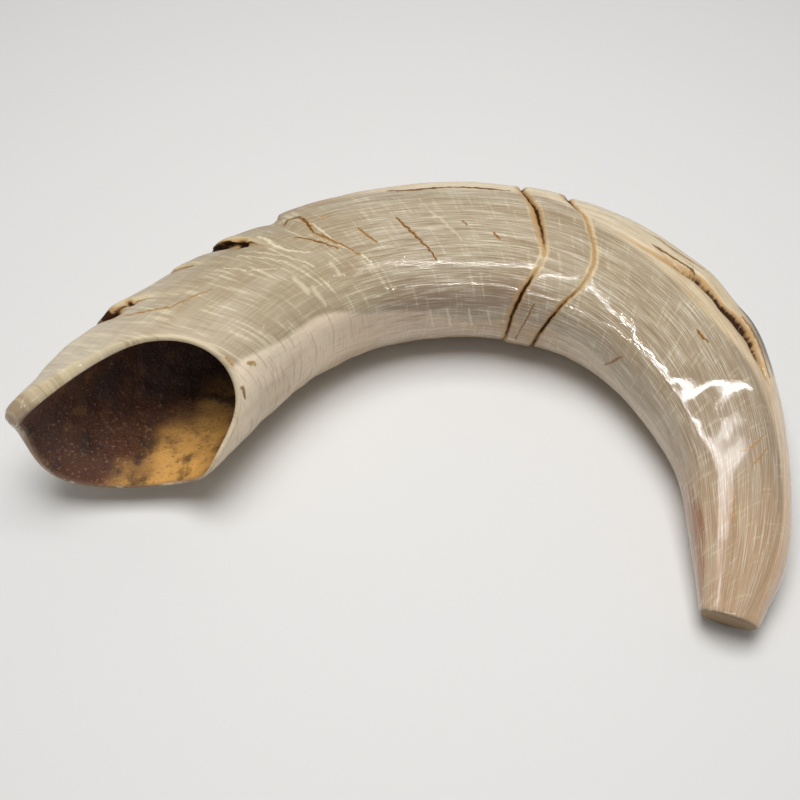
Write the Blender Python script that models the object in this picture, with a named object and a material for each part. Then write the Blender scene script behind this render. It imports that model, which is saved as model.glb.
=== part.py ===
"""A ram's horn lying on its side, cut off at a slant at its wide hollow end and flat across its solid tip.

The horn is one solid. Its skin is a section swept along a curved centre line. A place on it is given by
s, the distance along the centre line in millimetres, and by an angle round the section, where 0 points
away from the bend, 90 up, 180 into the bend and 270 down.
"""
import bmesh
import bpy
import numpy as np

MM = 0.001

# Centre line and section: x, y, z, then the reach outwards, inwards, up and down, all in mm.
# The first station is the point that the slanting cut has taken away.
STATIONS = np.array([
    (-121, -70, 42, 29, 28, 25, 26),
    (-104, -44, 39, 29, 29, 26, 26),
    (-80, -8, 34, 29, 29.5, 27, 27),
    (-48, 32, 29, 26.5, 28, 27, 28),
    (-24, 49, 27, 27, 28, 26, 27.6),
    (17, 59, 26, 29, 28, 25, 26),
    (42, 57.5, 26, 28, 28, 25, 26),
    (70, 48, 25, 27, 27.5, 24, 25),
    (95, 26, 23, 25.5, 26, 22, 23),
    (109, 0, 20, 21.5, 24, 20, 20),
    (114, -25, 17, 17.5, 20, 17, 17),
    (113, -44, 14.5, 17, 17.5, 14.5, 14.5),
    (110, -61, 12, 15, 14.5, 12, 12),
    (104.5, -78, 9, 9.5, 9, 8, 9.7),
], float)

# How square the section is in the middle of each quarter: 2 is an ellipse.
SQUARENESS = {45: 2.0, 135: 2.5, 225: 2.2, 315: 2.1}

# The slanting cut: where its edge lies along the horn, in mm, by degrees round the section.
MOUTH_EDGE = {0: 37, 15: 35, 30: 37, 45: 45, 60: 58, 75: 70, 92: 78, 114: 83.5, 133: 85, 154: 83, 176: 76,
              190: 68.5, 223: 64, 255: 56, 279: 48, 298: 42, 320: 38}

# The keel: a blunt ridge on the outside of the bend.
KEEL_ANGLE = 25
KEEL_WIDTH = 22
KEEL_HEIGHT = {0: 2, 40: 2.2, 62: 4.3, 80: 3.6, 126: 4, 156: 3.5, 200: 3.2, 286: 2.5, 320: 1.5, 350: 0,
               400: 0}

# The shoulder: a softer ridge where the flat upper side turns down into the bend.
SHOULDER_ANGLE = {40: 128, 84: 134, 125: 148, 156: 153, 200: 147, 250: 148, 300: 143, 325: 138, 400: 140}
SHOULDER_WIDTH = 16
SHOULDER_HEIGHT = {40: 0.4, 84: 0.8, 125: 1.4, 250: 1.5, 325: 1.2, 360: 0.5, 400: 0}

# Ledges, where one growth layer laps over the next. Each has the line of its edge, in mm along the horn
# by degrees round it, then how far the skin sinks before it and rises past it, in mm, and the middle and
# half width of its arc in degrees.
LEDGES = [
    ({28: 83, 50: 91, 90: 98, 135: 102, 180: 98, 225: 90, 270: 84, 320: 81}, 0.3, 3.4, 18, 34),
    ({28: 109, 50: 112, 90: 117, 135: 121, 180: 118, 225: 110, 270: 104, 320: 104}, 0.1, 1.6, 20, 34),
    ({28: 127, 60: 130, 75: 131, 102: 137, 127: 148, 150: 156, 190: 160, 225: 150, 270: 136, 320: 128},
     3.2, 1.0, 30, 44),
    ({28: 147, 64: 145, 80: 147, 98: 149, 114: 155, 130: 163, 150: 170, 190: 174, 225: 166, 270: 154,
      320: 148}, 3.6, 0.3, 38, 54),
]
LEDGE_SHARPNESS = 0.6
LEDGE_FADE = 10

# Grooves that ring the horn, with their lines as above, then depth and half width in mm.
GROOVES = [
    ({20: 222, 44: 223, 68: 227, 88: 230, 108: 233, 125: 234.5, 144: 231, 160: 228, 182: 226, 213: 224,
      270: 222, 330: 221}, 1.3, 1.4),
    ({20: 237, 48: 238, 64: 243, 86: 248, 104: 253, 120: 255, 136: 254, 152: 249, 172: 244, 200: 240,
      240: 238, 300: 236}, 1.5, 1.5),
]
COLLAR_RISE = 0.6
COLLAR_FLATNESS = 4

# The flange: a lip of outer horn over the keel near the tip, undercut along its upper edge.
FLANGE_EDGE = {240: 71, 249: 70, 263: 68, 274: 63, 283: 56, 296: 52, 305: 49, 320: 45, 330: 43}
FLANGE_HEIGHT = {240: 0, 262: 0.7, 275: 1.1, 284: 1.8, 291: 0.6, 300: 1.9, 309: 1.3, 320: 0.2, 330: 0}
FLANGE_EDGE_WIDTH = 1.5
FLANGE_WIDTH = 34

# The hollow: wall at its mouth by degrees round the section, how the wall grows, and where the hollow ends.
WALL = {0: 4.5, 90: 3.0, 180: 2.0, 270: 3.5}
WALL_GROWTH = 0.03
HOLLOW_END = 215
HOLLOW_BLUNTNESS = 4
RIM_ROUNDING = 0.25

# How finely the skin is divided.
AROUND = 72
HOLLOW_RINGS = 20
RINGS_BETWEEN_LINES = [2, 2, 1, 1, 5, 1, 13]
LINE_MARGIN = 1.6
TIP_BEVEL = 0.6
DIRECTION_STEP = 0.5

# The tip's flat cut leans this many degrees, so that it faces a little downwards.
TIP_CUT_LEAN = 7
TIP_CUT_BLEND = 22

HORN_COLOUR = (0.53, 0.45, 0.30, 1)
HORN_ROUGHNESS = 0.3


def clear_scene():
    for item in list(bpy.data.objects):
        bpy.data.objects.remove(item, do_unlink=True)


def spline(knots, values, at):
    """Natural cubic spline through one or more columns of values at the knots."""
    values = np.asarray(values, float).reshape(len(knots), -1)
    gap = np.diff(knots)
    count = len(knots)
    system, right = np.eye(count), np.zeros((count, values.shape[1]))
    slope = np.diff(values, axis=0) / gap[:, None]
    for i in range(1, count - 1):
        system[i, i - 1:i + 2] = gap[i - 1], 2 * (gap[i - 1] + gap[i]), gap[i]
        right[i] = 6 * (slope[i] - slope[i - 1])
    bend = np.linalg.solve(system, right)
    at = np.asarray(at, float)
    k = np.clip(np.searchsorted(knots, at) - 1, 0, count - 2)
    ahead, behind, width = [v[..., None] for v in (knots[k + 1] - at, at - knots[k], gap[k])]
    curved = (bend[k] * ahead ** 3 + bend[k + 1] * behind ** 3) / (6 * width)
    first = (values[k] / width - bend[k] * width / 6) * ahead
    second = (values[k + 1] / width - bend[k + 1] * width / 6) * behind
    return curved + first + second


def along(table, s):
    """Smooth value at distance s of a table {mm along the horn: value}."""
    places = np.array(sorted(table), float)
    values = [table[p] for p in sorted(table)]
    return spline(places, values, np.clip(s, places[0], places[-1]))[..., 0]


def around(table, angle):
    """Smooth value at an angle in degrees of a table {degrees round the horn: value}."""
    places = np.array(sorted(table), float)
    values = [table[p] for p in sorted(table)]
    places = np.concatenate([places - 360, places, places + 360])
    return spline(places, values * 3, np.mod(angle, 360))[..., 0]


def turned(angle, middle):
    """Degrees from the middle to the angle, between -180 and 180."""
    return np.mod(angle - middle + 180, 360) - 180


def station_distances():
    steps = np.linalg.norm(np.diff(STATIONS[:, :3], axis=0), axis=1)
    return np.concatenate([[0], np.cumsum(steps)])


DISTANCES = station_distances()
TIP = DISTANCES[-1]


def section(s, angle):
    """Reach of the plain section, a superellipse with its own half width on each of its four sides."""
    reach = spline(DISTANCES, STATIONS[:, 3:], s)
    across, upright = np.cos(np.radians(angle)), np.sin(np.radians(angle))
    half_width = np.where(across >= 0, reach[..., 0], reach[..., 1])
    half_height = np.where(upright >= 0, reach[..., 2], reach[..., 3])
    power = around(SQUARENESS, angle)
    return (np.abs(across / half_width) ** power + np.abs(upright / half_height) ** power) ** (-1 / power)


def keel(s, angle):
    return along(KEEL_HEIGHT, s) * np.exp(-(turned(angle, KEEL_ANGLE) / KEEL_WIDTH) ** 2)


def shoulder(s, angle):
    ridge = np.exp(-(turned(angle, along(SHOULDER_ANGLE, s)) / SHOULDER_WIDTH) ** 2)
    return along(SHOULDER_HEIGHT, s) * ridge


def ledges(s, angle):
    """The skin sinks towards each ledge's edge and stands proud just past it."""
    height = np.zeros_like(s)
    for line, sink, rise, middle, half_arc in LEDGES:
        past = s - around(line, angle)
        step = np.where(past > 0, rise, sink) * np.tanh(past / LEDGE_SHARPNESS)
        height += step * np.exp(-np.abs(past) / LEDGE_FADE - (turned(angle, middle) / half_arc) ** 2)
    return height


def grooves(s, angle):
    """Two narrow rings cut into the skin, with a slightly raised collar between them."""
    height = np.zeros_like(s)
    for line, depth, half_width in GROOVES:
        height -= depth * np.exp(-((s - around(line, angle)) / half_width) ** 2)
    first, second = [around(groove[0], angle) for groove in GROOVES]
    middle, half_gap = (first + second) / 2, (second - first) / 2
    return height + COLLAR_RISE * np.exp(-((s - middle) / half_gap) ** COLLAR_FLATNESS)


def flange(s, angle):
    """A lip that steps up at its edge and falls away smoothly round the keel."""
    inside = along(FLANGE_EDGE, s) - turned(angle, 0)
    step = 0.5 + 0.5 * np.tanh(inside / FLANGE_EDGE_WIDTH - 1)
    return along(FLANGE_HEIGHT, s) * step * np.exp(-(np.maximum(inside, 0) / FLANGE_WIDTH) ** 2)


def outer_radius(s, angle):
    plain = section(s, angle) + keel(s, angle) + shoulder(s, angle)
    return plain + ledges(s, angle) + grooves(s, angle) + flange(s, angle)


def inner_radius(s, angle):
    """The hollow keeps a wall that thickens inwards, and narrows to nothing at its end."""
    wall = around(WALL, angle) + WALL_GROWTH * (s - around(MOUTH_EDGE, angle))
    narrowing = np.sqrt(np.maximum(1 - (s / HOLLOW_END) ** HOLLOW_BLUNTNESS, 0))
    return (section(s, angle) - wall) * narrowing


def frame_at(s):
    """Centre of the section at s, and its forward, outward and upward directions."""
    places = [np.clip(s + change, 0, TIP) for change in (0, DIRECTION_STEP, -DIRECTION_STEP)]
    centre, ahead, behind = [spline(DISTANCES, STATIONS[:, :3], at) for at in places]
    forward = ahead - behind
    forward /= np.linalg.norm(forward, axis=-1, keepdims=True)
    outward = np.cross(np.broadcast_to((0.0, 0.0, 1.0), forward.shape), forward)
    outward /= np.linalg.norm(outward, axis=-1, keepdims=True)
    return centre, forward, outward, np.cross(forward, outward)


def place(s, angle, radius):
    """Points, in mm, at a radius from the centre line. Near the tip the sections lean over to the cut."""
    centre, forward, outward, upward = frame_at(s)
    across, height = radius * np.cos(np.radians(angle)), radius * np.sin(np.radians(angle))
    lean = np.tan(np.radians(TIP_CUT_LEAN)) * np.maximum(1 - (TIP - s) / TIP_CUT_BLEND, 0) ** 2
    return centre + across[..., None] * outward + height[..., None] * (upward + lean[..., None] * forward)


def outer_ring_places(angle):
    """Distances of the outer rings at each angle: close beside each ledge and groove, evenly between them."""
    lines = [around(ledge[0], angle) for ledge in LEDGES] + [around(groove[0], angle) for groove in GROOVES]
    starts = [around(MOUTH_EDGE, angle)] + [line + LINE_MARGIN for line in lines]
    ends = [line - LINE_MARGIN for line in lines] + [np.full_like(angle, TIP - TIP_BEVEL)]
    rings = [starts[0]]
    for number, (start, end) in enumerate(zip(starts, ends)):
        steps = RINGS_BETWEEN_LINES[number] + 1
        rings += [start + (end - start) * k / steps for k in range(1, steps + 1)]
        if number < len(lines):
            rings += [lines[number], lines[number] + LINE_MARGIN]
    return rings


def horn_rings():
    """All rings in order, from the end of the hollow out over the rim and along the skin to the tip's cut."""
    angle = np.arange(AROUND) * 360 / AROUND
    edge = around(MOUTH_EDGE, angle)
    rings = []
    for k in range(1, HOLLOW_RINGS + 1):
        s = HOLLOW_END + (edge - HOLLOW_END) * (1 - np.cos(k * np.pi / 2 / HOLLOW_RINGS))
        rings.append(place(s, angle, inner_radius(s, angle)))
    inside, outside = inner_radius(edge, angle), outer_radius(edge, angle)
    for k in (3, 2, 1):
        turn = k * np.pi / 4
        radius = (outside + inside) / 2 + (outside - inside) / 2 * np.cos(turn)
        rings.append(place(edge - RIM_ROUNDING * (outside - inside) * np.sin(turn), angle, radius))
    for s in outer_ring_places(angle):
        rings.append(place(s, angle, outer_radius(s, angle)))
    end = np.full_like(angle, TIP)
    rings.append(place(end, angle, outer_radius(end, angle) - TIP_BEVEL))
    return rings


def closed_mesh(name, rings, first_pole, last_pole):
    """Mesh of quads between neighbouring rings, with a fan of triangles at each pole."""
    count = len(rings[0])
    points = [first_pole] + [tuple(p) for ring in rings for p in ring] + [last_pole]
    faces = []
    for k in range(count):
        after = (k + 1) % count
        faces.append((0, 1 + k, 1 + after))
        for ring in range(len(rings) - 1):
            low, high = 1 + ring * count, 1 + (ring + 1) * count
            faces.append((low + k, high + k, high + after, low + after))
        last = 1 + (len(rings) - 1) * count
        faces.append((last + k, len(points) - 1, last + after))
    mesh = bpy.data.meshes.new(name)
    mesh.from_pydata(points, [], faces)
    shape = bmesh.new()
    shape.from_mesh(mesh)
    bmesh.ops.recalc_face_normals(shape, faces=shape.faces)
    bmesh.ops.triangulate(shape, faces=shape.faces, quad_method="SHORT_EDGE")
    shape.to_mesh(mesh)
    shape.free()
    return mesh


def horn_material():
    material = bpy.data.materials.new("horn")
    material.use_nodes = True
    surface = material.node_tree.nodes["Principled BSDF"]
    surface.inputs["Base Color"].default_value = HORN_COLOUR
    surface.inputs["Roughness"].default_value = HORN_ROUGHNESS
    surface.inputs["Metallic"].default_value = 0
    return material


def build_horn():
    rings = np.array(horn_rings())
    poles = np.array([place(np.array(s), np.array(0.0), np.array(0.0)) for s in (HOLLOW_END, TIP)])
    points = np.concatenate([rings.reshape(-1, 3), poles])
    low, high = points.min(axis=0), points.max(axis=0)
    base = np.array([(low[0] + high[0]) / 2, (low[1] + high[1]) / 2, low[2]])
    rings, poles = (rings - base) * MM, (poles - base) * MM
    mesh = closed_mesh("ram_horn", rings, tuple(poles[0]), tuple(poles[1]))
    mesh.materials.append(horn_material())
    mesh.shade_smooth()
    mesh.set_sharp_from_angle(angle=np.radians(40))
    horn = bpy.data.objects.new("ram_horn", mesh)
    bpy.context.scene.collection.objects.link(horn)
    return horn


clear_scene()
build_horn()
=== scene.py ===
import bpy
import numpy as np
from mathutils import Matrix, Vector


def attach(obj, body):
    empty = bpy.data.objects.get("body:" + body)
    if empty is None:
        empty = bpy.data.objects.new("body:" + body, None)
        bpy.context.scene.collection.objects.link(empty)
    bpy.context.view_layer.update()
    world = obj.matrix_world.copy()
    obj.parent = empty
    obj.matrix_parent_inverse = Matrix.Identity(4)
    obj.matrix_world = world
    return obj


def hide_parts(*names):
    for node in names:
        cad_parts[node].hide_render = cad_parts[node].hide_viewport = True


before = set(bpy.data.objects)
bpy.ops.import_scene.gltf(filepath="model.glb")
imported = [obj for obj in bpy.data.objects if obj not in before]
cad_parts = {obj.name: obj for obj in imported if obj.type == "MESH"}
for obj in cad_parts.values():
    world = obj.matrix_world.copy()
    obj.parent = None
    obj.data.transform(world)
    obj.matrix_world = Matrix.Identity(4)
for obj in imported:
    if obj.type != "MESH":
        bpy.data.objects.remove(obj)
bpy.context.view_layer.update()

# A place on the horn is given by s, the distance along its centre line in mm, and by an angle round its
# section in degrees, where 0 points away from the bend, 90 up, 180 into the bend and 270 down.
MM = 0.001
ORIGIN = (2.789, 3.834, -0.612)

# Centre line and section: x, y, z, then the reach outwards, inwards, up and down, all in mm.
STATIONS = np.array([
    (-121, -70, 42, 29, 28, 25, 26),
    (-104, -44, 39, 29, 29, 26, 26),
    (-80, -8, 34, 29, 29.5, 27, 27),
    (-48, 32, 29, 26.5, 28, 27, 28),
    (-24, 49, 27, 27, 28, 26, 27.6),
    (17, 59, 26, 29, 28, 25, 26),
    (42, 57.5, 26, 28, 28, 25, 26),
    (70, 48, 25, 27, 27.5, 24, 25),
    (95, 26, 23, 25.5, 26, 22, 23),
    (109, 0, 20, 21.5, 24, 20, 20),
    (114, -25, 17, 17.5, 20, 17, 17),
    (113, -44, 14.5, 17, 17.5, 14.5, 14.5),
    (110, -61, 12, 15, 14.5, 12, 12),
    (104.5, -78, 9, 9.5, 9, 8, 9.7),
], float)
SQUARENESS = {45: 2.0, 135: 2.5, 225: 2.2, 315: 2.1}

MOUTH_EDGE = {0: 37, 15: 35, 30: 37, 45: 45, 60: 58, 75: 70, 92: 78, 114: 83.5, 133: 85, 154: 83, 176: 76,
              190: 68.5, 223: 64, 255: 56, 279: 48, 298: 42, 320: 38}

KEEL_ANGLE = 25
KEEL_WIDTH = 22
KEEL_HEIGHT = {0: 2, 40: 2.2, 62: 4.3, 80: 3.6, 126: 4, 156: 3.5, 200: 3.2, 286: 2.5, 320: 1.5, 350: 0,
               400: 0}

SHOULDER_ANGLE = {40: 128, 84: 134, 125: 148, 156: 153, 200: 147, 250: 148, 300: 143, 325: 138, 400: 140}
SHOULDER_WIDTH = 16
SHOULDER_HEIGHT = {40: 0.4, 84: 0.8, 125: 1.4, 250: 1.5, 325: 1.2, 360: 0.5, 400: 0}

# Ledges, where one growth layer laps over the next: the line of each edge, how far the skin sinks before it,
# rises past it and hangs over it, the middle and half width of its arc, and how gently it steps.
LEDGES = [
    ({28: 83, 50: 91, 90: 98, 135: 102, 180: 98, 225: 90, 270: 84, 320: 81},
     0.3, 3.4, 1.6, 18, 34, 0.4),
    ({28: 109, 50: 112, 90: 117, 135: 121, 180: 118, 225: 110, 270: 104, 320: 104},
     0.1, 1.6, 0.5, 20, 34, 0.8),
    ({28: 127, 60: 130, 75: 131, 102: 137, 127: 148, 150: 156, 190: 160, 225: 150, 270: 136, 320: 128},
     3.2, 1.0, 1.8, 30, 44, 0.4),
    ({28: 147, 64: 145, 80: 147, 98: 149, 114: 155, 130: 163, 150: 170, 190: 174, 225: 166, 270: 154,
      320: 148}, 3.4, 0.3, 0.0, 38, 54, 2.2),
]
LEDGE_SOFTENING = 2.5
LEDGE_FADE = 10
OVERHANG_FADE = 4

# Grooves that ring the horn: their lines, depth and half width.
GROOVES = [
    ({20: 222, 44: 223, 68: 227, 88: 230, 108: 233, 125: 234.5, 144: 231, 160: 228, 182: 226, 213: 224,
      270: 222, 330: 221}, 1.2, 0.8),
    ({20: 237, 48: 238, 64: 243, 86: 248, 104: 253, 120: 255, 136: 254, 152: 249, 172: 244, 200: 240,
      240: 238, 300: 236}, 1.4, 0.9),
]
# How open and how cream each groove is, by degrees round the horn.
GROOVE_OPEN = [{0: 1, 100: 0.9, 112: 0.45, 128: 0.3, 142: 0.8, 160: 1, 260: 0.6},
               {0: 1, 58: 0.9, 70: 0.7, 130: 0.5, 146: 0.8, 160: 1, 260: 0.6}]
GROOVE_CREAM = [{0: 0, 60: 0.25, 105: 0.4, 116: 1, 134: 0.9, 142: 0.1, 180: 0, 300: 0},
                {0: 0, 56: 0.2, 68: 0.9, 100: 1, 138: 0.9, 152: 0.2, 180: 0, 300: 0}]
COLLAR_RISE = 0.6
COLLAR_FLATNESS = 4

FLANGE_EDGE = {240: 71, 249: 70, 263: 68, 274: 63, 283: 56, 296: 52, 305: 49, 320: 45, 330: 43}
FLANGE_HEIGHT = {240: 0, 262: 0.7, 275: 1.1, 284: 1.8, 291: 0.6, 300: 1.9, 309: 1.3, 320: 0.2, 330: 0}
FLANGE_EDGE_WIDTH = 1.0
FLANGE_WIDTH = 34
UNDERCUT_DEPTH = {240: 0, 262: 0.3, 280: 0.9, 290: 1.6, 304: 1.8, 314: 0.8, 326: 0}
UNDERCUT_WIDTH = 2.6

# Pits beside the ledges: s, angle, depth, half length in mm and half width in degrees.
PITS = [
    (81.5, 29, 2.2, 2.4, 9),
    (87.5, 41, 1.6, 0.9, 2.5),
    (125.5, 32, 2.0, 2.0, 8),
    (128.6, 54, 1.8, 1.8, 6),
    (155, 72, 0.8, 0.8, 1.6),
]

WALL = {0: 4.5, 90: 3.0, 180: 2.0, 270: 3.5}
RIM_WALL = {0: 4.0, 30: 4.2, 60: 3.0, 90: 2.0, 135: 1.6, 180: 1.3, 225: 1.1, 270: 1.0, 310: 1.4, 340: 2.8}
RIM_TAPER = 14
WALL_GROWTH = 0.03
HOLLOW_END = 215
HOLLOW_BLUNTNESS = 4
RIM_ROUNDING = 0.25

TIP_BEVEL = 0.6
TIP_CUT_LEAN = 7
TIP_CUT_BLEND = 22
DIRECTION_STEP = 0.5

# How finely the skin is divided. The columns start under the horn and crowd together on its upper side.
COLUMNS = 264
FIRST_COLUMN = 290
CROWDED_ANGLE = 85
CROWDING = 0.35
BESIDE_LINE = [-5, -3.4, -2.3, -1.5, -1.0, -0.6, -0.25, 0.25, 0.6, 1.0, 1.5, 2.3, 3.4, 5]
RINGS_BETWEEN_LINES = [18, 13, 7, 9, 56, 4, 106]
DEEP_RINGS, SHALLOW_RINGS, SHALLOW_DEPTH = 16, 36, 62
TIP_RINGS = 4
MEAN_RADIUS = 27


def spline(knots, values, at):
    """Natural cubic spline through one or more columns of values at the knots."""
    values = np.asarray(values, float).reshape(len(knots), -1)
    gap = np.diff(knots)
    count = len(knots)
    system, right = np.eye(count), np.zeros((count, values.shape[1]))
    slope = np.diff(values, axis=0) / gap[:, None]
    for i in range(1, count - 1):
        system[i, i - 1:i + 2] = gap[i - 1], 2 * (gap[i - 1] + gap[i]), gap[i]
        right[i] = 6 * (slope[i] - slope[i - 1])
    bend = np.linalg.solve(system, right)
    at = np.asarray(at, float)
    k = np.clip(np.searchsorted(knots, at) - 1, 0, count - 2)
    ahead, behind, width = [v[..., None] for v in (knots[k + 1] - at, at - knots[k], gap[k])]
    curved = (bend[k] * ahead ** 3 + bend[k + 1] * behind ** 3) / (6 * width)
    first = (values[k] / width - bend[k] * width / 6) * ahead
    second = (values[k + 1] / width - bend[k + 1] * width / 6) * behind
    return curved + first + second


def along(table, s):
    """Smooth value at distance s of a table {mm along the horn: value}."""
    places = np.array(sorted(table), float)
    values = [table[p] for p in sorted(table)]
    return spline(places, values, np.clip(s, places[0], places[-1]))[..., 0]


def around(table, angle):
    """Smooth value at an angle of a table {degrees round the horn: value}."""
    places = np.array(sorted(table), float)
    values = [table[p] for p in sorted(table)]
    places = np.concatenate([places - 360, places, places + 360])
    return spline(places, values * 3, np.mod(angle, 360))[..., 0]


def blend_along(table, s):
    """Straight-line blend at distance s of a table {mm along the horn: colour}, one column per channel."""
    places = sorted(table)
    columns = [np.interp(s, places, [table[p][c] for p in places]) for c in range(3)]
    return np.stack(columns, axis=-1)


def turned(angle, middle):
    """Degrees from the middle to the angle, between -180 and 180."""
    return np.mod(angle - middle + 180, 360) - 180


def bell(distance, half_width):
    """exp(-(distance / half width) squared): 1 in the middle, 0.37 at the half width."""
    return np.exp(-(distance / half_width) ** 2)


def rise_to(value, start, end):
    """Smooth step from 0 at start to 1 at end."""
    t = np.clip((value - start) / (end - start), 0, 1)
    return t * t * (3 - 2 * t)


def waver(angle, number):
    """A closed wavy line round the horn: four sines of rising count and falling height, about 1 high."""
    total = np.zeros_like(angle, dtype=float)
    for k, (count, height) in enumerate([(4, 0.45), (9, 0.3), (17, 0.25), (31, 0.2), (53, 0.2)]):
        total += height * np.sin(np.radians(angle) * count + 1.7 * number + 2.9 * k * (number + 1))
    return total


def lumps(s, angle, length, count, number):
    """Soft seamless lumps: products of sines along s and round the horn, in three sizes, about 1 high."""
    total = np.zeros(np.broadcast(s, angle).shape)
    for k in range(3):
        wave = 2 * np.pi * s * (1.6 ** k) / length
        turn = np.radians(angle) * (count + 2 * k)
        phase = wave + 1.3 * number + 2.1 * k + np.sin(turn + number)
        total += 0.6 ** k * np.sin(phase) * np.cos(turn + 0.8 * k + number)
    return total / 1.6


def station_distances():
    steps = np.linalg.norm(np.diff(STATIONS[:, :3], axis=0), axis=1)
    return np.concatenate([[0], np.cumsum(steps)])


DISTANCES = station_distances()
TIP = DISTANCES[-1]


def line_at(number, angle):
    """Where ledge or groove line number lies at each angle, with the waver of a natural edge."""
    if number < len(LEDGES):
        return around(LEDGES[number][0], angle) + 0.55 * waver(angle, number)
    return around(GROOVES[number - len(LEDGES)][0], angle) + 0.35 * waver(angle, number)


def section(s, angle):
    """Reach of the plain section, a superellipse with its own half width on each of its four sides."""
    reach = spline(DISTANCES, STATIONS[:, 3:], s)
    across, upright = np.cos(np.radians(angle)), np.sin(np.radians(angle))
    half_width = np.where(across >= 0, reach[..., 0], reach[..., 1])
    half_height = np.where(upright >= 0, reach[..., 2], reach[..., 3])
    power = around(SQUARENESS, angle)
    return (np.abs(across / half_width) ** power + np.abs(upright / half_height) ** power) ** (-1 / power)


def keel(s, angle):
    return along(KEEL_HEIGHT, s) * bell(turned(angle, KEEL_ANGLE), KEEL_WIDTH)


def shoulder(s, angle):
    return along(SHOULDER_HEIGHT, s) * bell(turned(angle, along(SHOULDER_ANGLE, s)), SHOULDER_WIDTH)


def ledges(s, angle):
    """The skin sinks towards each ledge's edge and stands proud just past it."""
    height = np.zeros_like(s)
    for number, (_, sink, rise, _, middle, half_arc, gentle) in enumerate(LEDGES):
        past, arc = s - line_at(number, angle), bell(turned(angle, middle), half_arc)
        step = np.where(past > 0, rise, sink) * np.tanh(past / (gentle + LEDGE_SOFTENING * (1 - arc)))
        height += step * np.exp(-np.abs(past) / LEDGE_FADE) * arc
    return height


def overhang(s, angle):
    """How far the skin just past each ledge's edge is drawn back over it, in mm."""
    back = np.zeros_like(s)
    for number, (_, _, _, reach, middle, half_arc, _) in enumerate(LEDGES):
        past = s - line_at(number, angle)
        lip = np.where(past > 0, np.exp(-np.abs(past) / OVERHANG_FADE), 0)
        back += reach * lip * bell(turned(angle, middle), half_arc) * (1 + 0.3 * waver(angle * 2, number + 7))
    return back


def grooves(s, angle):
    """Two narrow rings cut into the skin, with a slightly raised collar between them."""
    height = np.zeros_like(s)
    lines = [line_at(len(LEDGES) + number, angle) for number in range(len(GROOVES))]
    for line, (_, depth, half_width), open_part in zip(lines, GROOVES, GROOVE_OPEN):
        height -= depth * around(open_part, angle) * bell(s - line, half_width)
    middle, half_gap = (lines[0] + lines[1]) / 2, (lines[1] - lines[0]) / 2
    return height + COLLAR_RISE * np.exp(-((s - middle) / half_gap) ** COLLAR_FLATNESS)


def flange_inside(s, angle):
    """Degrees from the flange's upper edge into the flange."""
    ragged = 1.6 * np.sin(s / 2.9) + 1.1 * np.sin(s / 1.3 + 1)
    return along(FLANGE_EDGE, s) + ragged * rise_to(s, 262, 285) * 0.6 - turned(angle, 0)


def flange(s, angle):
    """A lip that steps up at its edge, falls away round the keel, and is undercut just above its edge."""
    inside = flange_inside(s, angle)
    step = 0.5 + 0.5 * np.tanh(inside / FLANGE_EDGE_WIDTH - 1)
    lip = along(FLANGE_HEIGHT, s) * step * bell(np.maximum(inside, 0), FLANGE_WIDTH)
    return lip - along(UNDERCUT_DEPTH, s) * bell(inside + 2.0, UNDERCUT_WIDTH)


def pits(s, angle):
    depth = np.zeros_like(s)
    for place, middle, deep, half_length, half_width in PITS:
        depth += deep * bell(s - place, half_length) * bell(turned(angle, middle), half_width)
    return depth


def growth(s, angle):
    """Distance along the horn measured along its growth lines, which lag on the inside of the bend."""
    return s - around({0: 0, 60: 1, 100: 6, 135: 14, 180: 18, 225: 14, 300: 2}, angle)


def swell(s, angle):
    """Low ripples along the growth lines, strongest near the mouth, and soft hand-polished lumps."""
    line = growth(s, angle)
    near_mouth = rise_to(-s, -190, -110)
    ripple = 0.5 * np.sin(line / 2.7) + 0.35 * np.sin(line / 1.7 + 2) + 0.5 * np.sin(line / 4.9 + 1)
    height = (0.03 + 0.20 * near_mouth) * ripple
    calm = 1 - 0.75 * rise_to(s, 270, 310)
    return height + calm * (0.20 * lumps(s, angle, 46, 3, 1) + 0.07 * lumps(s, angle, 19, 7, 4))


def tip_forms(s, angle):
    """A long swelling on top of the tip and a flat on its outer side."""
    swelling = 0.8 * bell(s - 352, 16) * bell(turned(angle, 92), 34)
    flat = -0.8 * bell(s - 384, 22) * bell(turned(angle, 12), 26)
    return swelling + flat


def outer_radius(s, angle):
    plain = section(s, angle) + keel(s, angle) + shoulder(s, angle)
    fade = rise_to(-s, -TIP, -TIP + 8)
    relief = ledges(s, angle) + grooves(s, angle) + flange(s, angle) - pits(s, angle)
    return plain + relief + fade * (swell(s, angle) + tip_forms(s, angle))


def inner_radius(s, angle):
    """The hollow keeps a wall that thickens inwards, narrows to nothing at its end, and is lumpy inside."""
    edge = around(MOUTH_EDGE, angle)
    wall = around(WALL, angle) + WALL_GROWTH * (s - edge)
    wall = wall + (around(RIM_WALL, angle) - wall) * (1 - rise_to(s - edge, 0, RIM_TAPER))
    narrowing = np.sqrt(np.maximum(1 - (s / HOLLOW_END) ** HOLLOW_BLUNTNESS, 0))
    rough = 0.35 * lumps(s, angle, 23, 5, 2) + 0.22 * lumps(s, angle, 9, 11, 5)
    return (section(s, angle) - wall + rough * rise_to(s - edge, 1, 12)) * narrowing


def frame_at(s):
    """Centre of the section at s, and its forward, outward and upward directions."""
    places = [np.clip(s + change, 0, TIP) for change in (0, DIRECTION_STEP, -DIRECTION_STEP)]
    centre, ahead, behind = [spline(DISTANCES, STATIONS[:, :3], at) for at in places]
    forward = ahead - behind
    forward /= np.linalg.norm(forward, axis=-1, keepdims=True)
    outward = np.cross(np.broadcast_to((0.0, 0.0, 1.0), forward.shape), forward)
    outward /= np.linalg.norm(outward, axis=-1, keepdims=True)
    return centre, forward, outward, np.cross(forward, outward)


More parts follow.
